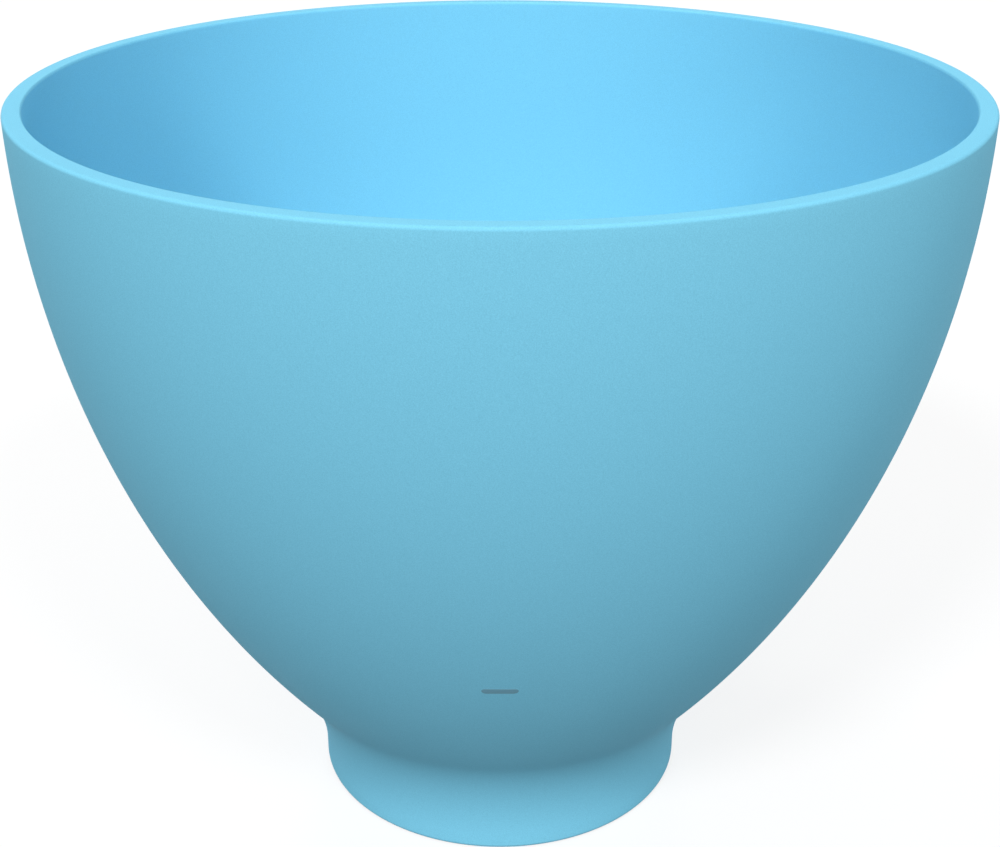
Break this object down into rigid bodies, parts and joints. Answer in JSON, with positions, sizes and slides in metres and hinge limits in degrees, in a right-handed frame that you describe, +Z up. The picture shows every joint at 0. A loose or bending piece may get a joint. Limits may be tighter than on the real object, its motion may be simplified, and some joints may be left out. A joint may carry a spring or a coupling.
{
  "type": "plaster mixing bowl",
  "caption": "Flexible round bowl for mixing plaster, with a wide mouth, a curved wall that narrows downwards and a flared ring foot to stand on.",
  "frame": {"origin": "middle of the foot's standing face, on the table", "axes": "+Z up along the bowl's own axis, -Y towards the front, where the printed bar is"},
  "size_m": [0.14, 0.14, 0.1152],
  "materials": {
    "silicone_rubber": "moulded sky-blue silicone, satin with a fine matt grain",
    "printing_ink": "thin matt grey-blue pad print"
  },
  "bodies": {
    "root": {"bowl": "silicone_rubber", "printed_bar": "printing_ink"}
  },
  "joints": []
}
